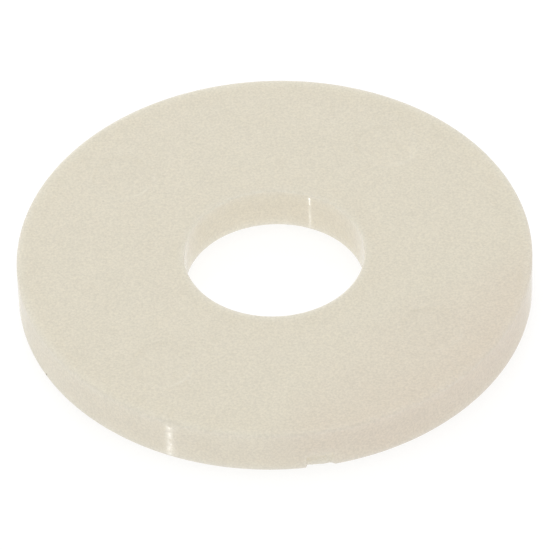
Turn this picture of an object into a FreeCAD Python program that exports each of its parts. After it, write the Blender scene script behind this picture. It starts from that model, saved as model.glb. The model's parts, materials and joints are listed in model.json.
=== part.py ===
import FreeCAD, Part
import math
import os

# A wide flat washer for an M8 screw, injection-moulded in one piece of unfilled nylon.
# Millimetres and degrees. The origin is the centre of the lower face, and +Z runs up the bore axis.
# Angles are measured about +Z from +X, and the side with the gate scar faces -Y.

# Overall sizes
OUTER_DIAMETER = 24.0
BORE_DIAMETER = 8.4
THICKNESS = 2.2

# Radius that the mould leaves on each edge: the upper rim is in the deep half of the mould,
# and the lower rim is on the parting line, where the edge stays nearly sharp
UPPER_RIM_RADIUS = 0.15
LOWER_RIM_RADIUS = 0.06
BORE_EDGE_RADIUS = 0.08

# Ejector-pin marks: shallow round dishes in the upper face
MARK_COUNT = 4
MARK_DIAMETER = 3.0
MARK_DEPTH = 0.02
MARK_RIM_LAND = 1.6  # flat face left between a mark and the outer rim
FIRST_MARK_ANGLE = 53.0

# Gate scar: the notch left in the rim where the runner was broken off
GATE_WIDTH = 1.4
GATE_HEIGHT = 0.9  # up from the lower face
GATE_DEEP_END = 0.17  # inwards from the rim, at the end that tore first
GATE_SHALLOW_END = 0.10
GATE_END_SLOPE = 0.15  # length over which each end of the notch runs out
GATE_ANGLE = -81.4

# How far a cutting tool passes beyond the face that it cuts
TOOL_OVERRUN = 1.0

OUTER_RADIUS = OUTER_DIAMETER / 2
BORE_RADIUS = BORE_DIAMETER / 2
MARK_RADIUS = MARK_DIAMETER / 2
MARK_CIRCLE_RADIUS = OUTER_RADIUS - MARK_RIM_LAND - MARK_RADIUS
MARK_SPACING_ANGLE = 360.0 / MARK_COUNT
SAME_PLACE = 1e-6
BORE_AXIS = FreeCAD.Vector(0, 0, 1)
CENTRE = FreeCAD.Vector(0, 0, 0)


def circular_edges(shape, radius, height):
    """The edges of shape that are circles of that radius, at that height."""
    circles = [edge for edge in shape.Edges if isinstance(edge.Curve, Part.Circle)]
    return [
        edge
        for edge in circles
        if abs(edge.Curve.Radius - radius) < SAME_PLACE
        and abs(edge.Curve.Center.z - height) < SAME_PLACE
    ]


def sharp_ring():
    """The washer before its edges are rounded."""
    disc = Part.makeCylinder(OUTER_RADIUS, THICKNESS)
    bore = Part.makeCylinder(BORE_RADIUS, THICKNESS)
    return disc.cut(bore)


def round_edges(ring):
    """Gives each of the four circular edges the radius that the mould leaves."""
    edges = [
        (OUTER_RADIUS, THICKNESS, UPPER_RIM_RADIUS),
        (OUTER_RADIUS, 0.0, LOWER_RIM_RADIUS),
        (BORE_RADIUS, THICKNESS, BORE_EDGE_RADIUS),
        (BORE_RADIUS, 0.0, BORE_EDGE_RADIUS),
    ]
    for radius, height, edge_radius in edges:
        ring = ring.makeFillet(edge_radius, circular_edges(ring, radius, height))
    return ring


def ejector_mark(index):
    """The pin that dishes one mark, standing with its end MARK_DEPTH below the upper face."""
    angle = math.radians(FIRST_MARK_ANGLE + index * MARK_SPACING_ANGLE)
    x = MARK_CIRCLE_RADIUS * math.cos(angle)
    y = MARK_CIRCLE_RADIUS * math.sin(angle)
    end = FreeCAD.Vector(x, y, THICKNESS - MARK_DEPTH)
    return Part.makeCylinder(MARK_RADIUS, MARK_DEPTH + TOOL_OVERRUN, end)


def gate_notch():
    """The block of material that tore away with the runner, drawn across +X and then turned."""
    half = GATE_WIDTH / 2
    outside = OUTER_RADIUS + TOOL_OVERRUN
    plan = [
        FreeCAD.Vector(outside, -half, 0),
        FreeCAD.Vector(OUTER_RADIUS, -half, 0),
        FreeCAD.Vector(OUTER_RADIUS - GATE_DEEP_END, -half + GATE_END_SLOPE, 0),
        FreeCAD.Vector(OUTER_RADIUS - GATE_SHALLOW_END, half - GATE_END_SLOPE, 0),
        FreeCAD.Vector(OUTER_RADIUS, half, 0),
        FreeCAD.Vector(outside, half, 0),
    ]
    outline = Part.makePolygon(plan + plan[:1])
    block = Part.Face(outline).extrude(FreeCAD.Vector(0, 0, GATE_HEIGHT + TOOL_OVERRUN))
    block.translate(FreeCAD.Vector(0, 0, -TOOL_OVERRUN))
    block.rotate(CENTRE, BORE_AXIS, GATE_ANGLE)
    return block


def washer():
    """The whole washer, one closed solid."""
    ring = round_edges(sharp_ring())
    for index in range(MARK_COUNT):
        ring = ring.cut(ejector_mark(index))
    return ring.cut(gate_notch())


os.makedirs("parts", exist_ok=True)
washer().exportStep("parts/washer.step")
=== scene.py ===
"""The looks of a wide flat washer, moulded in natural nylon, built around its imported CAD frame.

Blender works in metres in the frame's own axes: the bore runs up +Z, the lower face lies on z = 0, and the
gate scar is on the side of the rim that faces -Y. Sizes that a maker gives in millimetres stay in
millimetres in the classes, and MM turns them into metres where a mesh, a lamp or the camera is made.
"""

import json
import logging
import math
from dataclasses import dataclass, field
from enum import Enum
from typing import Any, Callable, Sequence

import bpy
import numpy as np
from mathutils import Matrix, Vector, noise
from mathutils.geometry import delaunay_2d_cdt


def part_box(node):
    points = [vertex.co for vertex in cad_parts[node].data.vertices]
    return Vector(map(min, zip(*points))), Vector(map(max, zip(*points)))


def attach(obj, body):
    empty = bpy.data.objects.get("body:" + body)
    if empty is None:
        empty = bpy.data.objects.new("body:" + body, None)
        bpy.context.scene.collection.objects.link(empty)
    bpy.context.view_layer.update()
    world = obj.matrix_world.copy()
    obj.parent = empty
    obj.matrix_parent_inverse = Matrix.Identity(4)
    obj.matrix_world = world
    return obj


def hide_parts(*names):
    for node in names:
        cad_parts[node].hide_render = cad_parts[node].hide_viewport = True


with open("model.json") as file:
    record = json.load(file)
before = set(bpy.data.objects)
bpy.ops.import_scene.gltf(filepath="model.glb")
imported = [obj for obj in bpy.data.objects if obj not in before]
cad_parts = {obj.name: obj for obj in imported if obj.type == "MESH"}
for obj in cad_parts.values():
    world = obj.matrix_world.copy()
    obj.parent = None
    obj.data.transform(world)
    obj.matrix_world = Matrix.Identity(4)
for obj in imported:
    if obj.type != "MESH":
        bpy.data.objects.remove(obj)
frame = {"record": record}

MM = 0.001
FULL_TURN = 360.0
HALF_TURN = 180.0
RADIUS_DIGITS = 2
THICKNESS_DIGITS = 3
WASHER_NODE = "washer"
SAME_PLACE = 1e-7
PEAK_HALFWAY = 0.25  # the most that a share times the rest of it comes to
NOISE_SPAN = (0.3, 0.7)  # where almost all of Blender's noise lies
WHITE = (1.0, 1.0, 1.0)
LOG = logging.getLogger("washer")

Colour = tuple[float, float, float]
Point2 = tuple[float, float]
Socket = bpy.types.NodeSocket


def smooth_step(low: float, high: float, value: float) -> float:
    """Climbs smoothly from 0 at low to 1 at high.

    Args:
        low: where the climb starts.
        high: where it ends.
        value: where to read it.

    Returns:
        The height of the climb, from 0 to 1.
    """
    share = min(max((value - low) / (high - low), 0.0), 1.0)
    return share * share * (3.0 - 2.0 * share)


class Seed(Enum):
    """Offsets into the noise, so that each use of it has a pattern of its own."""

    TEAR = 1.3
    SINK = 2.4
    SCAR_ENDS = 3.1
    FLASH = 4.2
    FIBRES = 5.9
    SCAR_TOP = 7.7


def grain(x: float, y: float, pitch: float, seed: Seed) -> float:
    """Smooth noise in about -1 to 1, with bumps about one pitch across.

    Args:
        x, y: the place in the pattern, in millimetres.
        pitch: size of one bump, in millimetres.
        seed: which pattern.

    Returns:
        The noise at that place.
    """
    offset = seed.value
    return noise.noise(Vector((x / pitch + offset, y / pitch - offset, 2.0 * offset)))


def even_angles(count: int) -> list[float]:
    """That many evenly spaced angles round a full turn, in degrees."""
    return [-HALF_TURN + FULL_TURN / count * step for step in range(count)]


@dataclass(frozen=True)
class RingSizes:
    """Overall sizes of the moulding, in millimetres."""

    outer_radius: float
    bore_radius: float
    thickness: float

    @classmethod
    def from_frame(cls, node: str) -> "RingSizes":
        """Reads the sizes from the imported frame.

        Args:
            node: name of the CAD node.

        Returns:
            The ring's outer radius, bore radius and thickness.
        """
        low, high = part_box(node)
        bore = next(mount for mount in frame["record"]["mounts"] if mount["kind"] == "bore")
        return cls(
            outer_radius=round((high.y - low.y) / 2.0 / MM, RADIUS_DIGITS),
            bore_radius=bore["dims"]["r_mm"],
            thickness=round((high.z - low.z) / MM, THICKNESS_DIGITS),
        )


@dataclass(frozen=True)
class EdgeRadii:
    """The radius that the mould leaves on each edge, in millimetres."""

    upper_rim: float = 0.15
    lower_rim: float = 0.06
    bore: float = 0.08


class PinPrint(Enum):
    """How an ejector pin printed into the face: (tone of the dish, tone of its edge)."""

    PALE = (0.006, -0.006)
    DULL = (-0.006, -0.003)
    RINGED = (0.000, -0.008)
    SMEARED = (-0.008, -0.004)


@dataclass(frozen=True)
class EjectorMark:
    """The shallow round dish that one ejector pin leaves in the upper face, in millimetres and degrees."""

    angle: float
    print_kind: PinPrint
    depth: float = 0.020
    lean: float = 0.006
    lean_angle: float = 0.0
    circle_radius: float = 8.9
    radius: float = 1.5
    edge_width: float = 0.18
    edge_shares: tuple[float, ...] = (1.0, 0.75, 0.5, 0.25, 0.0)  # where the mesh has rings across the edge
    inner_ring: float = 0.45  # how far inside the edge the innermost ring lies
    outer_ring_gap: float = 0.10
    points_round: int = 120

    @property
    def centre(self) -> Point2:
        """The middle of the dish, in the plane of the face."""
        turn = math.radians(self.angle)
        return self.circle_radius * math.cos(turn), self.circle_radius * math.sin(turn)

    def distance(self, x: float, y: float) -> float:
        """How far a point of the face lies from the middle of the dish."""
        return math.dist((x, y), self.centre)

    def relief(self, x: float, y: float) -> float:
        """How deep the dish is here: its floor leans a little.

        Args:
            x, y: the place on the face, in millimetres.

        Returns:
            The height to add to the flat face, in millimetres.
        """
        turn = math.radians(self.lean_angle)
        middle_x, middle_y = self.centre
        along = ((x - middle_x) * math.cos(turn) + (y - middle_y) * math.sin(turn)) / self.radius
        return self._inside(x, y) * -(self.depth + self.lean * along)

    def _inside(self, x: float, y: float) -> float:
        """How fully a point lies in the dish, from 0 outside to 1 on its floor."""
        return 1.0 - smooth_step(self.radius - self.edge_width, self.radius, self.distance(x, y))

    def tone(self, x: float, y: float) -> float:
        """How much lighter or darker the plastic looks where the pin pressed it.

        Args:
            x, y: the place on the face, in millimetres.

        Returns:
            The change of brightness, as a share of the plain plastic's.
        """
        dish_tone, edge_tone = self.print_kind.value
        edge = math.exp(-(((self.distance(x, y) - self.radius) / self.edge_width) ** 2))
        return self._inside(x, y) * dish_tone + edge * edge_tone

    def rings(self) -> list[list[Point2]]:
        """Makes the circles of points that hold the dish's edge in the face's mesh.

        Returns:
            The circles, from the innermost out.
        """
        across = [-self.edge_width * share for share in self.edge_shares]
        offsets = (-self.inner_ring, *across, self.outer_ring_gap, 2.0 * self.outer_ring_gap)
        x, y = self.centre
        return [circle_points(self.radius + offset, self.points_round, x, y) for offset in offsets]


@dataclass(frozen=True)
class GateScar:
    """The torn notch low in the rim where the runner broke off, in millimetres and degrees."""

    angle: float = -81.4
    width: float = 1.4
    height: float = 0.9
    deep_end: float = 0.17
    shallow_end: float = 0.10
    end_slope: float = 0.15
    top_slope: float = 0.45
    ragged_ends: float = 0.05
    ragged_top: float = 0.10
    ragged_top_pitch: float = 0.35
    tear_pitch: float = 0.22
    tear_depth: float = 0.035
    fibre_pitch: float = 0.07
    fibre_share: float = 0.5
    column_pitch: float = 0.12  # degrees between columns of the mesh here
    column_reach: float = 0.62  # how far those columns go each way, in widths of the scar

    def _along(self, angle: float, rim_radius: float) -> float:
        """Distance along the rim from the middle of the scar."""
        return math.radians(angle - self.angle) * rim_radius

    def share(self, angle: float, height: float, rim_radius: float) -> float:
        """How fully a point of the rim lies in the scar.

        Args:
            angle, height: the place on the rim, in degrees and millimetres.
            rim_radius: radius of the rim, in millimetres.

        Returns:
            The share, from 0 outside to 1 inside.
        """
        along = self._along(angle, rim_radius)
        half = self.width / 2.0
        ragged = self.ragged_ends * grain(along, height, self.tear_pitch, Seed.SCAR_ENDS)
        ends = 1.0 - smooth_step(half - self.end_slope, half, abs(along) + ragged)
        top = self.height + self.ragged_top * grain(along, 0.0, self.ragged_top_pitch, Seed.SCAR_TOP)
        return ends * (1.0 - smooth_step(top - self.top_slope, top, height))

    def depth(self, angle: float, height: float, rim_radius: float) -> float:
        """How far the torn surface lies inside the rim.

        Args:
            angle, height: the place on the rim, in degrees and millimetres.
            rim_radius: radius of the rim, in millimetres.

        Returns:
            The depth, in millimetres, 0 away from the scar.
        """
        inside = self.share(angle, height, rim_radius)
        if inside <= 0.0:
            return 0.0
        along = self._along(angle, rim_radius)
        run = along / self.width + 0.5
        plain = self.deep_end + (self.shallow_end - self.deep_end) * run
        torn = grain(along, height, self.tear_pitch, Seed.TEAR)
        torn += self.fibre_share * grain(along, height, self.fibre_pitch, Seed.FIBRES)
        return max(inside * (plain + self.tear_depth * torn), 0.0)

    def columns(self, rim_radius: float) -> list[float]:
        """Places the mesh's columns through the scar, closer together than round the rest of the rim.

        Args:
            rim_radius: radius of the rim, in millimetres.

        Returns:
            The columns' angles, in degrees.
        """
        reach = math.degrees(self.width / rim_radius) * self.column_reach
        count = round(2.0 * reach / self.column_pitch)
        return [self.angle - reach + 2.0 * reach * step / count for step in range(count + 1)]


def circle_points(radius: float, count: int, x: float, y: float) -> list[Point2]:
    """Evenly spaced points on a circle.

    Args:
        radius: the circle's radius.
        count: how many points.
        x, y: the circle's middle.

    Returns:
        The points, anticlockwise.
    """
    turns = [math.tau * step / count for step in range(count)]
    return [(x + radius * math.cos(turn), y + radius * math.sin(turn)) for turn in turns]


class MeshBench:
    """Collects points and faces in millimetres, with a few values at each point, for one mesh."""

    def __init__(self) -> None:
        """Starts with nothing on the bench."""
        self.points: list[tuple[float, float, float]] = []
        self.faces: list[tuple[int, ...]] = []
        self.values: dict[str, list[float]] = {"wall": [], "tone": [], "torn": []}

    def add_point(self, x: float, y: float, z: float, wall: float, tone: float, torn: float) -> int:
        """Adds one point.

        Args:
            x, y, z: the place, in millimetres.
            wall: 1 on the upright walls and 0 on the flat faces.
            tone: lighter or darker than the plain plastic, from the ejector marks and from painted light and
                shade.
            torn: 1 where the surface was torn.

        Returns:
            The point's number.
        """
        self.points.append((x, y, z))
        for values, value in zip(self.values.values(), (wall, tone, torn)):
            values.append(value)
        return len(self.points) - 1

    def finish(self, name: str) -> bpy.types.Object:
        """Makes the object, in metres, with smooth shading.

        Args:
            name: the object's name.

        Returns:
            The new object, linked to the scene.
        """
        mesh = bpy.data.meshes.new(name)
        mesh.from_pydata([(x * MM, y * MM, z * MM) for x, y, z in self.points], [], self.faces)
        for value_name, values in self.values.items():
            attribute = mesh.attributes.new(value_name, "FLOAT", "POINT")
            attribute.data.foreach_set("value", values)
        mesh.update()
        mesh.shade_smooth()
        made = bpy.data.objects.new(name, mesh)
        bpy.context.scene.collection.objects.link(made)
        return made


@dataclass(frozen=True)
class PaintedWallLight:
    """Painted light and shade of a wall: how much lighter the wall is painted, how much darker its rounded
    edge and the face beside it are painted, and how far that painted shade reaches.
    """

    # painted light: how much lighter the wall is painted
    wall: float
    # painted shade: how much darker the rounded edge and the face beside it are painted
    edge: float
    painted_foot_shade: float  # painted shade added where the wall nears the lower face
    painted_shade_width: float  # millimetres that the edge's painted shade reaches into the face
    foot_height: float = 0.5  # millimetres

    def at(self, height: float, wall: float) -> float:
        """The painted light or shade at that height, for a point that belongs to the wall by that share."""
        near_foot = 1.0 - smooth_step(0.0, self.foot_height, height)
        return self.edge + (self.wall - self.edge) * wall + self.painted_foot_shade * near_foot

    def beside(self, gap: float) -> float:
        """The painted shade of the face at that distance from the wall, in millimetres."""
        return self.edge * (1.0 - smooth_step(0.0, self.painted_shade_width, gap))


@dataclass
class RoundWall:
    """One upright wall of the ring with its two rounded edges: the rim, or the wall of the bore."""

    bench: MeshBench
    thickness: float
    radius: float
    outward: float
    upper_radius: float
    lower_radius: float
    columns: list[float]
    heights: list[float]
    inset: Callable[[float, float], float]
    torn: Callable[[float, float], float]
    # the wall's painted light and shade
    painted_light: PaintedWallLight
    arc_steps: int = 6
    loops: list[list[int]] = field(default_factory=list)

    def profile(self) -> list[tuple[float, float, float]]:
        """The wall's section from the upper face's edge down to the lower one's.

        Returns:
            (radius, height, share of wall) for each row of the mesh, in millimetres.
        """
        turns = [math.pi / 2.0 * step / self.arc_steps for step in range(self.arc_steps + 1)]
        rows: list[tuple[float, float, float]] = []
        for turn in turns:
            back = self.upper_radius * (1.0 - math.sin(turn))
            drop = self.upper_radius * (1.0 - math.cos(turn))
            rows.append((self.radius - self.outward * back, self.thickness - drop, math.sin(turn)))
        rows += [(self.radius, height, 1.0) for height in self.heights]
        for turn in turns:
            back = self.lower_radius * (1.0 - math.cos(turn))
            height = self.lower_radius * (1.0 - math.sin(turn))
            rows.append((self.radius - self.outward * back, height, math.cos(turn)))
        return rows

    def build(self) -> None:
        """Adds the wall's points and faces to the bench, and keeps the loops of points."""
        for radius, height, wall in self.profile():
            loop: list[int] = []
            for angle in self.columns:
                turn = math.radians(angle)
                here = radius - self.outward * self.inset(angle, height)
                place = (here * math.cos(turn), here * math.sin(turn), height)
                # the wall's painted light and shade at this height
                tone, torn = self.painted_light.at(height, wall), self.torn(angle, height)
                loop.append(self.bench.add_point(*place, wall, tone, torn))
            self.loops.append(loop)
        count = len(self.columns)
        for upper, lower in zip(self.loops, self.loops[1:]):
            for column in range(count):
                beside = (column + 1) % count
                corners = (upper[column], lower[column], lower[beside], upper[beside])
                self.bench.faces.append(corners if self.outward > 0 else corners[::-1])

    @property
    def upper_loop(self) -> list[int]:
        """The points where the wall meets the upper face."""
        return self.loops[0]

    @property
    def lower_loop(self) -> list[int]:
        """The points where the wall meets the lower face."""
        return self.loops[-1]


@dataclass
class FlatFace:
    """One flat face of the ring, a mesh of triangles between the rim's loop and the bore's loop."""

    bench: MeshBench
    height: float
    faces_up: bool
    rim_loop: list[int]
    bore_loop: list[int]
    inner_rings: list[list[Point2]]
    keep_clear: Callable[[float, float], bool]
    relief: Callable[[float, float], float]
    tone: Callable[[float, float], float]
    pitch: float = 0.42
    margin_share: float = 0.7  # clear margin between the filling and the edges, in pitches
    edge_gaps: Point2 = (0.03, 0.15)

    def _loop_places(self, loop: Sequence[int]) -> list[Point2]:
        """The places of a loop's points in the plane of the face."""
        return [self.bench.points[number][:2] for number in loop]

    def _edge_rings(self) -> list[list[Point2]]:
        """Makes rings just inside both edges, to keep the shading of the rounded edges off the flat face.

        Returns:
            Two rings inside the rim, then two outside the bore.
        """
        rings: list[list[Point2]] = []
        for loop, inward in ((self.rim_loop, -1.0), (self.bore_loop, 1.0)):
            places = self._loop_places(loop)
            for gap in self.edge_gaps:
                rings.append([self._moved(place, inward * gap) for place in places])
        return rings

    @staticmethod
    def _moved(place: Point2, outwards: float) -> Point2:
        """Moves a place away from the bore's axis.

        Args:
            place: the place in the plane of the face.
            outwards: how far to move it, less than 0 for inwards.

        Returns:
            The new place.
        """
        radius = math.hypot(*place)
        scale = (radius + outwards) / radius
        return place[0] * scale, place[1] * scale

    def _filling(self) -> list[Point2]:
        """Fills the face with the points of a triangular grid.

        Returns:
            The points that lie clear of the edges and of the inner rings.
        """
        margin = self.margin_share * self.pitch
        rim = min(math.hypot(*place) for place in self._loop_places(self.rim_loop)) - margin
        bore = max(math.hypot(*place) for place in self._loop_places(self.bore_loop)) + margin
        row_gap = self.pitch * math.sqrt(3.0) / 2.0
        steps = math.ceil(rim / row_gap)
        found: list[Point2] = []
        for row in range(-steps, steps + 1):
            shift = 0.5 * self.pitch * (row % 2)
            for column in range(-steps, steps + 1):
                place = (column * self.pitch + shift, row * row_gap)
                if bore < math.hypot(*place) < rim and not self.keep_clear(*place):
                    found.append(place)
        return found

    def build(self) -> None:
        """Adds the face's own points and its triangles to the bench."""
        rings = [self._loop_places(self.rim_loop), self._loop_places(self.bore_loop)]
        rings += self._edge_rings() + self.inner_rings
        places: list[Point2] = []
        edges: list[tuple[int, int]] = []
        for ring in rings:
            first = len(places)
            places += ring
            edges += [(first + step, first + (step + 1) % len(ring)) for step in range(len(ring))]
        places += self._filling()
        numbers = self.rim_loop + self.bore_loop
        for x, y in places[len(numbers):]:
            height = self.height + self.relief(x, y)
            numbers.append(self.bench.add_point(x, y, height, 0.0, self.tone(x, y), 0.0))
        found = delaunay_2d_cdt([Vector(place) for place in places], edges, [], 0, SAME_PLACE)
        triangles, came_from = found[2], found[3]
        corners = [[came_from[corner][0] for corner in triangle] for triangle in triangles]
        for kept in self._between_the_loops(places, corners):
            face = tuple(numbers[corner] for corner in kept)
            self.bench.faces.append(face if self.faces_up else face[::-1])

    def _between_the_loops(self, places: list[Point2], triangles: list[list[int]]) -> list[list[int]]:
        """Leaves out the triangles that span the bore or the notch in the rim.

        Args:
            places: every point of the face.
            triangles: the numbers of each triangle's corners.

        Returns:
            The triangles that belong to the face.
        """
        middles = np.array(places)[np.array(triangles)].mean(axis=1)
        away = np.hypot(middles[:, 0], middles[:, 1])
        turns = np.arctan2(middles[:, 1], middles[:, 0])
        rim = self._reach(self.rim_loop, turns)
        bore = self._reach(self.bore_loop, turns) * math.cos(math.pi / len(self.bore_loop))
        return [triangle for triangle, kept in zip(triangles, (away > bore) & (away < rim)) if kept]

    def _reach(self, loop: Sequence[int], turns: np.ndarray) -> np.ndarray:
        """Reads how far out a loop lies.

        Args:
            loop: the numbers of the loop's points.
            turns: the directions to read it in, in radians.

        Returns:
            The loop's radius in each direction, in millimetres.
        """
        places = np.array(self._loop_places(loop))
        loop_turns = np.arctan2(places[:, 1], places[:, 0])
        return np.interp(turns, loop_turns, np.hypot(places[:, 0], places[:, 1]), period=math.tau)


@dataclass
class WasherMoulding:
    """The whole washer: one moulded ring with the marks of its mould, in millimetres."""

    sizes: RingSizes
    edges: EdgeRadii
    marks: Sequence[EjectorMark]
    scar: GateScar
    name: str = "washer_moulding"
    rim_columns: int = 576
    bore_columns: int = 384
    row_pitch: float = 0.1
    fine_row_pitch: float = 0.05
    fine_rows_to: float = 1.1
    clear_of_marks: float = 0.3
    sink: float = 0.010
    sink_run: float = 1.4
    sink_change: float = 0.3
    sink_pitch: float = 3.5
    flash: float = 0.012
    flash_pitch: float = 0.9
    # painted light and shade: walls painted lighter, their edges and the faces beside them darker, the rim's
    # foot darker
    rim_painted_light: PaintedWallLight = PaintedWallLight(wall=0.025, edge=-0.022, painted_foot_shade=-0.03, painted_shade_width=1.8)
    bore_painted_light: PaintedWallLight = PaintedWallLight(wall=0.08, edge=-0.035, painted_foot_shade=0.0, painted_shade_width=1.1)
    bench: MeshBench = field(default_factory=MeshBench)

    def _columns(self) -> list[float]:
        """Places the rim's columns: evenly, with closer ones through the gate scar.

        Returns:
            The columns' angles, in degrees.
        """
        close = self.scar.columns(self.sizes.outer_radius)
        gap = FULL_TURN / self.rim_columns / 2
        start, end = close[0] - gap, close[-1] + gap
        even = [angle for angle in even_angles(self.rim_columns) if not start < angle < end]
        return sorted(even + close)

    def _heights(self, upper_radius: float, lower_radius: float, fine_to: float) -> list[float]:
        """Places a wall's rows between its two rounded edges.

        Args:
            upper_radius: radius of the upper edge, in millimetres.
            lower_radius: radius of the lower edge.
            fine_to: height below which the rows lie closer together.

        Returns:
            The rows' heights, from the top down.
        """
        top, bottom = self.sizes.thickness - upper_radius, lower_radius
        heights: list[float] = []
        height = top - self.row_pitch
        while height > bottom + self.fine_row_pitch / 2:
            heights.append(height)
            height -= self.fine_row_pitch if height <= fine_to else self.row_pitch
        return heights

    def _rim_inset(self, angle: float, height: float) -> float:
        """How far the rim lies inside its radius: the gate scar, less the flash on the parting line.

        Args:
            angle, height: the place on the rim, in degrees and millimetres.

        Returns:
            The distance, in millimetres, less than 0 where flash stands out.
        """
        turn = math.radians(angle)
        around = (self.sizes.outer_radius * math.cos(turn), self.sizes.outer_radius * math.sin(turn))
        swell = self.flash * (1.0 + grain(*around, self.flash_pitch, Seed.FLASH)) / 2.0
        flash = swell * math.exp(-height / self.edges.lower_rim)
        scar = self.scar.depth(angle, height, self.sizes.outer_radius)
        return scar - flash * (1.0 - self._torn(angle, height))

    def _torn(self, angle: float, height: float) -> float:
        """How fully a point of the rim lies in the torn gate scar."""
        return self.scar.share(angle, height, self.sizes.outer_radius)

    def _sink(self, x: float, y: float) -> float:
        """How far the face sank as the plastic cooled.

        Args:
            x, y: the place on the face, in millimetres.

        Returns:
            The height to add to the flat face: 0 at both edges, and below 0 between them.
        """
        away = math.hypot(x, y)
        to_edge = min(self.sizes.outer_radius - away, away - self.sizes.bore_radius)
        wander = self.sink_change * grain(x, y, self.sink_pitch, Seed.SINK)
        return -self.sink * (1.0 + wander) * smooth_step(0.0, self.sink_run, to_edge)

    def _upper_relief(self, x: float, y: float) -> float:
        """Height of the upper face above flat."""
        return self._sink(x, y) + sum(mark.relief(x, y) for mark in self.marks)

    def _upper_tone(self, x: float, y: float) -> float:
        """Tone of the upper face: what the ejector pins left, and painted shade that darkens it a little
        towards both edges.

        Args:
            x, y: the place on the face, in millimetres.

        Returns:
            The change of brightness, as a share of the plain plastic's.
        """
        away = math.hypot(x, y)
        rim = self.rim_painted_light.beside(self.sizes.outer_radius - away)
        bore = self.bore_painted_light.beside(away - self.sizes.bore_radius)
        return sum(mark.tone(x, y) for mark in self.marks) + rim + bore

    def _near_a_mark(self, x: float, y: float) -> bool:
        """Whether a point lies where an ejector mark brings its own rings of points."""
        return any(abs(mark.distance(x, y) - mark.radius) < self.clear_of_marks for mark in self.marks)

    def _wall(self, radius: float, outward: float) -> RoundWall:
        """Builds one of the two upright walls.

        Args:
            radius: the wall's radius, in millimetres.
            outward: 1 for the rim, or -1 for the bore.

        Returns:
            The wall, built on the bench.
        """
        is_rim = outward > 0.0
        upper = self.edges.upper_rim if is_rim else self.edges.bore
        lower = self.edges.lower_rim if is_rim else self.edges.bore
        wall = RoundWall(
            bench=self.bench,
            thickness=self.sizes.thickness,
            radius=radius,
            outward=outward,
            upper_radius=upper,
            lower_radius=lower,
            columns=self._columns() if is_rim else even_angles(self.bore_columns),
            heights=self._heights(upper, lower, self.fine_rows_to if is_rim else 0.0),
            inset=self._rim_inset if is_rim else lambda angle, height: 0.0,
            torn=self._torn if is_rim else lambda angle, height: 0.0,
            painted_light=self.rim_painted_light if is_rim else self.bore_painted_light,
        )
        wall.build()
        return wall

    def build(self) -> bpy.types.Object:
        """Builds the mesh.

        Returns:
            The washer, riding on the frame's one body and standing for its CAD node.
        """
        rim = self._wall(self.sizes.outer_radius, 1.0)
        bore = self._wall(self.sizes.bore_radius, -1.0)
        upper = FlatFace(
            bench=self.bench,
            height=self.sizes.thickness,
            faces_up=True,
            rim_loop=rim.upper_loop,
            bore_loop=bore.upper_loop,
            inner_rings=[ring for mark in self.marks for ring in mark.rings()],
            keep_clear=self._near_a_mark,
            relief=self._upper_relief,
            tone=self._upper_tone,
        )
        lower = FlatFace(
            bench=self.bench,
            height=0.0,
            faces_up=False,
            rim_loop=rim.lower_loop,
            bore_loop=bore.lower_loop,
            inner_rings=[],
            keep_clear=lambda x, y: False,
            relief=lambda x, y: -self._sink(x, y),
            tone=lambda x, y: 0.0,
        )
        upper.build()
        lower.build()
        washer = self.bench.finish(self.name)
        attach(washer, "root")
        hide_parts(WASHER_NODE)
        return washer

    def dress(self, washer: bpy.types.Object, finish: "NaturalNylon") -> None:
        """Gives the washer its finish.

        Args:
            washer: the object that build made.
            finish: the plastic.
        """
        washer.data.materials.clear()
        washer.data.materials.append(finish.material())


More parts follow.
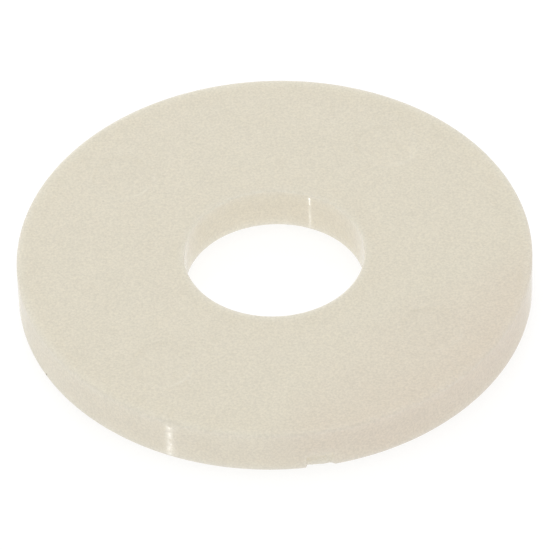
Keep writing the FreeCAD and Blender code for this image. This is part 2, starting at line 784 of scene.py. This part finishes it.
class NodeBench:
    """A material's nodes, made and joined with few words."""

    def __init__(self, name: str) -> None:
        """Starts an empty material of that name."""
        self.made = bpy.data.materials.new(name)
        self.made.use_nodes = True
        self.tree = self.made.node_tree
        self.tree.nodes.clear()

    def node(self, kind: str, settings: dict[str, Any] | None = None, **inputs: Any) -> bpy.types.Node:
        """Adds a node.

        Args:
            kind: Blender's name for the node, less ShaderNode.
            settings: properties of the node itself.
            **inputs: a value or another socket for each input, with _ for each space in the input's name.

        Returns:
            The node.
        """
        made = self.tree.nodes.new(f"ShaderNode{kind}")
        for key, value in (settings or {}).items():
            setattr(made, key, value)
        for key, value in inputs.items():
            self.feed(made.inputs[key.replace("_", " ")], value)
        return made

    def feed(self, socket: Socket, value: Any) -> None:
        """Sets an input to a value, or joins it to another node's output.

        Args:
            socket: the input.
            value: the value, or the output to join it to.
        """
        if isinstance(value, Socket):
            self.tree.links.new(value, socket)
        else:
            socket.default_value = value

    def sum(self, first: Any, second: Any) -> Socket:
        """Adds two values."""
        return self._math("ADD", first, second)

    def times(self, first: Any, second: Any) -> Socket:
        """Multiplies two values."""
        return self._math("MULTIPLY", first, second)

    def rest_of(self, share: Any) -> Socket:
        """What is left of 1 once a share is taken away."""
        return self._math("SUBTRACT", 1.0, share)

    def _math(self, operation: str, first: Any, second: Any) -> Socket:
        """Joins two values with one of Blender's math operations."""
        return self._joined("Math", operation, first, second).outputs[0]

    def vectors(self, operation: str, first: Any, second: Any = None) -> bpy.types.Node:
        """Joins two vectors, or measures one, with one of Blender's vector operations."""
        return self._joined("VectorMath", operation, first, second)

    def _joined(self, kind: str, operation: str, first: Any, second: Any) -> bpy.types.Node:
        """Adds a node that works on two inputs.

        Args:
            kind: the name of the node, as above.
            operation: what it does with them.
            first: the first input's value or socket.
            second: the second one's, or None to leave it alone.

        Returns:
            The node.
        """
        made = self.node(kind, {"operation": operation})
        self.feed(made.inputs[0], first)
        if second is not None:
            self.feed(made.inputs[1], second)
        return made

    def spread(self, value: Any, span: Point2, results: Point2) -> Socket:
        """Maps one span on to another, and stops at its ends.

        Args:
            value: what to map.
            span: where the climb starts and ends.
            results: what comes out there.

        Returns:
            The mapped value.
        """
        made = self.node("MapRange", {"clamp": True}, Value=value)
        made.inputs["From Min"].default_value, made.inputs["From Max"].default_value = span
        made.inputs["To Min"].default_value, made.inputs["To Max"].default_value = results
        return made.outputs[0]

    def noise(self, place: Any, pattern: "Pattern") -> Socket:
        """Noise around 0.5, in that pattern.

        Args:
            place: where to read it.
            pattern: how coarse and how rough it is.

        Returns:
            The noise.
        """
        made = self.node("TexNoise", None, Vector=place, Scale=pattern.per_mm / MM)
        made.inputs["Detail"].default_value = pattern.detail
        made.inputs["Roughness"].default_value = pattern.roughness
        return made.outputs["Fac"]

    def varied(self, place: Any, pattern: "Pattern", middle: float, change: float) -> Socket:
        """A value that wanders that far either side of its middle, in that pattern."""
        return self.spread(self.noise(place, pattern), NOISE_SPAN, (middle - change, middle + change))

    def mix(self, share: Any, first: Any, second: Any) -> Socket:
        """Mixes two colours.

        Args:
            share: how much of the second colour to take.
            first: a colour or a socket.
            second: a colour or a socket.

        Returns:
            The mixed colour.
        """
        made = self.node("Mix", {"data_type": "RGBA"}, Factor=share)
        for socket, value in ((made.inputs[6], first), (made.inputs[7], second)):
            self.feed(socket, (*value, 1.0) if isinstance(value, tuple) else value)
        return made.outputs[2]

    def value_at_points(self, name: str) -> Socket:
        """A value that the mesh holds at its points."""
        return self.node("Attribute", {"attribute_name": name}).outputs["Fac"]

    def surface(self, shader: bpy.types.Node) -> bpy.types.Material:
        """Joins the shader to the material's output.

        Args:
            shader: the node that shades the surface.

        Returns:
            The finished material.
        """
        output = self.node("OutputMaterial")
        self.tree.links.new(shader.outputs[0], output.inputs["Surface"])
        return self.made


@dataclass(frozen=True)
class Pattern:
    """One noise pattern of a material: how many bumps to the millimetre, and how fine and rough they are."""

    per_mm: float
    detail: float
    roughness: float = 0.5


@dataclass(frozen=True)
class Relief:
    """A pattern that stands up from the surface a little."""

    pattern: Pattern
    strength: float
    height: float  # millimetres


@dataclass(frozen=True)
class Inclusion:
    """A speck of burnt plastic caught in the moulding: its place and radius, in millimetres."""

    x: float
    y: float
    z: float
    radius: float
    darkness: float


class MouldedBench(NodeBench):
    """A bench for a moulded plastic, with what its patterns start from already on it."""

    def __init__(self, name: str) -> None:
        """Starts the material from the place on the washer and the values that the mesh holds."""
        super().__init__(name)
        self.place = self.node("TexCoord").outputs["Object"]
        self.wall = self.value_at_points("wall")
        self.torn = self.value_at_points("torn")
        self.face = self.rest_of(self.wall)


@dataclass(frozen=True)
class NaturalNylon:
    """Unpigmented nylon as it leaves the mould: off-white, slightly translucent, with a satin grain.

    Lengths are in millimetres. The facing pairs say how far a wall has turned away from the eye, from 0
    where it is seen straight on to 1 where it is seen edge-on.
    """

    plain: Colour = (0.763, 0.713, 0.590)
    # painted shade: the plastic is painted darker and warmer towards the front right, where less light falls
    painted_shade_colour: Colour = (0.740, 0.665, 0.552)
    burnt: Colour = (0.10, 0.08, 0.06)
    # painted light: the walls are painted paler and less yellow than the faces, the bore's wall more so
    wall_painted_tint: Colour = (1.0, 1.0, 1.02)
    bore_painted_tint: Colour = (1.008, 1.014, 1.045)
    painted_shade_bearing: float = -50.0  # degrees: the bearing where the painted shade is full
    painted_shade_run: Point2 = (7.5, 13.0)  # how far towards the front right the painted shade starts, and is full
    painted_shade_wander: float = 2.0
    bore_reach: Point2 = (6.0, 8.0)  # from the middle: the bore is nearer, and the rim is farther
    face_roughness: float = 0.40
    roughness_change: float = 0.06
    torn_roughness: float = 0.3
    wall_roughness: Point2 = (0.085, 0.20)  # where the mould was polished, and in its tooling streaks
    streak_span: Point2 = (0.4, 0.6)
    refraction: float = 1.53
    face_shine: float = 0.25
    wall_shine: Point2 = (0.16, 0.01)  # looking straight at a wall, and along it
    wall_facing: Point2 = (0.35, 0.75)
    bore_sheen: float = 0.28  # what the bore's smoother wall gains where the eye looks along it
    bore_facing: Point2 = (0.60, 0.86)
    edge_dulling: float = 0.8
    scatter_share: float = 0.40
    scatter_depth: float = 1.2
    mottle: float = 0.008
    speckle: float = 0.08
    drift: Pattern = Pattern(0.12, 2.0)
    mottling: Pattern = Pattern(0.7, 3.0)
    speckling: Pattern = Pattern(9.0, 2.0, 0.7)
    blush: Pattern = Pattern(1.6, 4.0)
    streaks: Pattern = Pattern(8.0, 3.0, 0.6)
    satin: Relief = Relief(Pattern(7.0, 3.0, 0.6), strength=0.25, height=0.02)
    tooling: Relief = Relief(Pattern(9.0, 3.0, 0.6), strength=0.1, height=0.01)
    fibres: Relief = Relief(Pattern(14.0, 4.0, 0.7), strength=0.6, height=0.03)
    round_squeeze: float = 0.15
    inclusion_core: float = 0.5
    inclusions: tuple[Inclusion, ...] = ()
    name: str = "natural_nylon"

    def material(self) -> bpy.types.Material:
        """Builds the material.

        Returns:
            The material, patterned in the object's own coordinates.
        """
        bench = MouldedBench(self.name)
        shader = bench.node(
            "BsdfPrincipled",
            {"subsurface_method": "RANDOM_WALK"},
            Base_Color=self._colour(bench),
            Roughness=self._roughness(bench),
            IOR=self.refraction,
            Specular_IOR_Level=self._shine(bench),
            Normal=self._relief(bench),
            Subsurface_Weight=self.scatter_share,
            Subsurface_Radius=WHITE,
            Subsurface_Scale=self.scatter_depth * MM,
        )
        return bench.surface(shader)

    def _colour(self, bench: MouldedBench) -> Socket:
        """Colours the plastic: painted shade that makes it darker and warmer towards the front right, faintly
        mottled, walls painted paler as painted light, and plain where it tore.

        Args:
            bench: the material's nodes.

        Returns:
            The colour.
        """
        # painted shade: darker and warmer towards the front right
        turn = math.radians(self.painted_shade_bearing)
        painted_shade_way = (math.cos(turn) / MM, math.sin(turn) / MM, 0.0)
        towards_painted_shade = bench.vectors("DOT_PRODUCT", bench.place, painted_shade_way).outputs["Value"]
        run = bench.sum(towards_painted_shade, bench.varied(bench.place, self.drift, 0.0, self.painted_shade_wander))
        with_painted_shade = bench.mix(bench.spread(run, self.painted_shade_run, (0.0, 1.0)), self.plain, self.painted_shade_colour)
        bare = bench.mix(bench.torn, with_painted_shade, self.plain)
        # painted light: walls painted paler and less yellow than the faces
        walls = bench.mix(self._in_bore(bench), self.wall_painted_tint, self.bore_painted_tint)
        tinted = bench.vectors("MULTIPLY", bare, bench.mix(bench.wall, WHITE, walls)).outputs["Vector"]
        toned = bench.vectors("SCALE", tinted)
        bench.feed(toned.inputs["Scale"], bench.sum(self._tone(bench), 1.0))
        return self._with_inclusions(bench, toned.outputs["Vector"])

    def _tone(self, bench: MouldedBench) -> Socket:
        """Adds up the soft mottling, the fine speckle and the tone that the mesh holds, with its painted
        light and shade.

        Args:
            bench: the material's nodes.

        Returns:
            The change of brightness.
        """
        mottle = bench.varied(bench.place, self.mottling, 0.0, self.mottle)
        speckle = bench.varied(bench.place, self.speckling, 0.0, self.speckle)
        return bench.sum(bench.sum(mottle, speckle), bench.value_at_points("tone"))

    def _with_inclusions(self, bench: MouldedBench, colour: Any) -> Socket:
        """Darkens the colour at each speck of burnt plastic.

        Args:
            bench: the material's nodes.
            colour: the colour without specks.

        Returns:
            The colour with them.
        """
        for speck in self.inclusions:
            middle = (speck.x * MM, speck.y * MM, speck.z * MM)
            away = bench.vectors("DISTANCE", bench.place, middle).outputs["Value"]
            reach = (self.inclusion_core * speck.radius * MM, speck.radius * MM)
            colour = bench.mix(bench.spread(away, reach, (speck.darkness, 0.0)), colour, self.burnt)
        return colour

    def _shine(self, bench: MouldedBench) -> Socket:
        """Sets how strongly the surface mirrors: less along the rim, more along the bore.

        Args:
            bench: the material's nodes.

        Returns:
            The level of the mirror reflection.
        """
        turned_away = bench.node("LayerWeight").outputs["Facing"]
        sheen = bench.spread(turned_away, self.bore_facing, (0.0, self.bore_sheen))
        walls = bench.spread(turned_away, self.wall_facing, self.wall_shine)
        walls = bench.sum(walls, bench.times(self._in_bore(bench), sheen))
        faces = bench.times(bench.face, self.face_shine)
        halfway = bench.times(bench.wall, bench.face)
        kept = bench.rest_of(bench.times(halfway, self.edge_dulling / PEAK_HALFWAY))
        return bench.times(bench.sum(bench.times(walls, bench.wall), faces), kept)

    def _roughness(self, bench: MouldedBench) -> Socket:
        """Makes the faces satin, the walls smoother, and the torn gate dull.

        Args:
            bench: the material's nodes.

        Returns:
            The roughness.
        """
        streaks = bench.noise(self._drawn_round(bench), self.streaks)
        walls = bench.spread(streaks, self.streak_span, self.wall_roughness)
        faces = bench.varied(bench.place, self.blush, self.face_roughness, self.roughness_change)
        base = bench.sum(bench.times(walls, bench.wall), bench.times(faces, bench.face))
        return bench.sum(base, bench.times(bench.torn, self.torn_roughness))

    def _relief(self, bench: MouldedBench) -> Socket:
        """Lays the fine reliefs over each other: satin grain, tooling rings and torn fibres.

        Args:
            bench: the material's nodes.

        Returns:
            The surface's normal.
        """
        layers = (
            (self.satin, bench.place, bench.face),
            (self.tooling, self._drawn_round(bench), bench.wall),
            (self.fibres, bench.place, bench.torn),
        )
        below: Socket | None = None
        for relief, where, share in layers:
            bump = bench.node("Bump", None, Strength=relief.strength, Distance=relief.height * MM)
            bench.feed(bump.inputs["Height"], bench.times(bench.noise(where, relief.pattern), share))
            if below is not None:
                bench.feed(bump.inputs["Normal"], below)
            below = bump.outputs["Normal"]
        return below

    def _in_bore(self, bench: MouldedBench) -> Socket:
        """One at the wall of the bore, and nought out at the rim."""
        away = bench.vectors("LENGTH", bench.place).outputs["Value"]
        return bench.spread(away, tuple(reach * MM for reach in self.bore_reach), (1.0, 0.0))

    def _drawn_round(self, bench: MouldedBench) -> Socket:
        """The same place, squeezed so that a pattern runs round the walls in long streaks."""
        squeeze = (self.round_squeeze, self.round_squeeze, 1.0)
        return bench.node("Mapping", None, Vector=bench.place, Scale=squeeze).outputs["Vector"]


@dataclass(frozen=True)
class LightTable:
    """The pale, faintly glossy table that the washer lies on, lit from within as well as from above."""

    half_side: float = 0.6  # metres
    drop: float = 0.01  # millimetres below the washer, so that the two surfaces don't fight
    colour: Colour = (0.35, 0.35, 0.35)
    glow: float = 0.70
    roughness: float = 0.05
    name: str = "table_top"

    def build(self) -> bpy.types.Object:
        """Makes the table top.

        Returns:
            The table top.
        """
        side, height = self.half_side, -self.drop * MM
        corners = [(-side, -side, height), (side, -side, height), (side, side, height), (-side, side, height)]
        mesh = bpy.data.meshes.new(self.name)
        mesh.from_pydata(corners, [], [(0, 1, 2, 3)])
        mesh.materials.append(self._material())
        table = bpy.data.objects.new(self.name, mesh)
        bpy.context.scene.collection.objects.link(table)
        return table

    def _material(self) -> bpy.types.Material:
        """Makes white acrylic with light behind it.

        Returns:
            The table's material.
        """
        bench = NodeBench(self.name)
        shader = bench.node(
            "BsdfPrincipled",
            None,
            Base_Color=(*self.colour, 1.0),
            Roughness=self.roughness,
            Emission_Color=(*WHITE, 1.0),
            Emission_Strength=self.glow,
        )
        return bench.surface(shader)


@dataclass(frozen=True)
class Lamp:
    """One lamp: a disc that faces the washer, placed by its bearing, height angle and distance."""

    name: str
    bearing: float  # degrees about +Z from +X
    climb: float  # degrees above the table
    distance: float  # metres
    radius: float  # metres
    brightness: float  # radiance of the disc, where the table's white is about 1
    tall: float = 1.0  # height of the lamp over its width
    mirrored: bool = False  # whether it is there only as its mirror image in the table top

    def build(self) -> bpy.types.Object:
        """Makes the lamp.

        Returns:
            The lamp, out of the camera's sight.
        """
        bearing = math.radians(self.bearing)
        climb = math.radians(-self.climb if self.mirrored else self.climb)
        level = math.cos(climb)
        away = Vector((math.cos(bearing) * level, math.sin(bearing) * level, math.sin(climb)))
        light = bpy.data.lights.new(self.name, "AREA")
        light.shape = "ELLIPSE"
        light.size = 2.0 * self.radius
        light.size_y = light.size * self.tall
        light.energy = self.brightness * math.pi * math.pi * self.radius**2 * self.tall
        lamp = bpy.data.objects.new(self.name, light)
        lamp.location = away * self.distance
        lamp.rotation_mode = "QUATERNION"
        lamp.rotation_quaternion = away.to_track_quat("Z", "Y")
        lamp.visible_camera = False
        bpy.context.scene.collection.objects.link(lamp)
        if self.mirrored:
            self._shine_through_table(lamp)
        return lamp

    def _shine_through_table(self, lamp: bpy.types.Object) -> None:
        """Lets only the washer block a mirrored lamp, so that its light comes up through the table top.

        Args:
            lamp: the lamp, which hangs below the table.
        """
        blockers = bpy.data.collections.new(f"{self.name}_blockers")
        blockers.objects.link(bpy.data.objects[WasherMoulding.name])
        lamp.light_linking.blocker_collection = blockers


@dataclass(frozen=True)
class Studio:
    """A white light tent: even light from all round, and its lamps."""

    tent_brightness: float = 0.76
    lamps: tuple[Lamp, ...] = ()

    def build(self) -> None:
        """Lights the tent and hangs its lamps."""
        world = bpy.data.worlds.new("light_tent")
        world.use_nodes = True
        background = world.node_tree.nodes["Background"]
        background.inputs["Color"].default_value = (*WHITE, 1.0)
        background.inputs["Strength"].default_value = self.tent_brightness
        bpy.context.scene.world = world
        for lamp in self.lamps:
            lamp.build()
        settings = bpy.context.scene.view_settings
        settings.view_transform = "Standard"
        settings.look = "None"


@dataclass(frozen=True)
class BenchCamera:
    """A long lens above the front of the washer, in millimetres and degrees."""

    lens: float = 432.1
    distance: float = 307.85
    climb: float = 43.85
    roll: float = 1.856
    aside: float = -0.009
    above: float = 0.245
    clip: Point2 = (0.01, 10.0)  # metres
    name: str = "bench_camera"

    def build(self, aim_height: float) -> bpy.types.Object:
        """Makes the camera and hands it to the scene.

        Args:
            aim_height: height of the point on the bore axis that it is set up from, in millimetres.

        Returns:
            The camera.
        """
        climb, roll = math.radians(self.climb), math.radians(self.roll)
        level_up = Vector((0.0, math.sin(climb), math.cos(climb)))
        right = Vector((math.cos(roll), 0.0, 0.0)) - level_up * math.sin(roll)
        up = Vector((math.sin(roll), 0.0, 0.0)) + level_up * math.cos(roll)
        back = right.cross(up)
        aim = Vector((0.0, 0.0, aim_height))
        place = (aim - right * self.aside - up * self.above + back * self.distance) * MM
        data = bpy.data.cameras.new(self.name)
        data.lens = self.lens
        data.clip_start, data.clip_end = self.clip
        camera = bpy.data.objects.new(self.name, data)
        turned = Matrix((right, up, back)).transposed().to_4x4()
        camera.matrix_world = Matrix.Translation(place) @ turned
        bpy.context.scene.collection.objects.link(camera)
        bpy.context.scene.camera = camera
        return camera


def main() -> None:
    """Builds the washer, the table, the light and the camera, in that order."""
    logging.basicConfig(level=logging.INFO, format="%(name)s: %(message)s")
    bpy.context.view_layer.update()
    sizes = RingSizes.from_frame(WASHER_NODE)
    marks = (
        EjectorMark(angle=52.4, print_kind=PinPrint.PALE, lean_angle=-90.0),
        EjectorMark(angle=141.8, print_kind=PinPrint.DULL, lean_angle=0.0),
        EjectorMark(angle=233.6, print_kind=PinPrint.RINGED, lean_angle=-90.0),
        EjectorMark(angle=323.0, print_kind=PinPrint.SMEARED, lean_angle=180.0),
    )
    moulding = WasherMoulding(sizes, EdgeRadii(), marks, GateScar())
    washer = moulding.build()
    nylon = NaturalNylon(
        inclusions=(
            Inclusion(x=-7.95, y=3.89, z=sizes.thickness, radius=0.06, darkness=0.2),
            Inclusion(x=-10.68, y=-5.46, z=0.12, radius=0.07, darkness=0.8),
        )
    )
    moulding.dress(washer, nylon)
    LOG.info("%s: %d points, %d faces", washer.name, len(washer.data.vertices), len(washer.data.polygons))
    table = LightTable().build()
    LOG.info("%s: stage", table.name)
    studio = Studio(
        lamps=(
            Lamp("back_softbox", bearing=105.0, climb=28.0, distance=0.45, radius=0.12, brightness=2.0),
            Lamp("side_softbox", bearing=188.0, climb=15.0, distance=0.45, radius=0.1, brightness=0.4),
            Lamp("overhead_softbox", bearing=90.0, climb=80.0, distance=0.45, radius=0.12, brightness=1.8),
            Lamp("spark", -138.9, 43.3, 0.1827, radius=0.0016, brightness=62.0, tall=2.0, mirrored=True),
        )
    )
    studio.build()
    camera = BenchCamera().build(sizes.thickness / 2.0)
    LOG.info("%s: %.0f mm lens", camera.name, camera.data.lens)


if __name__ == "__main__":
    main()
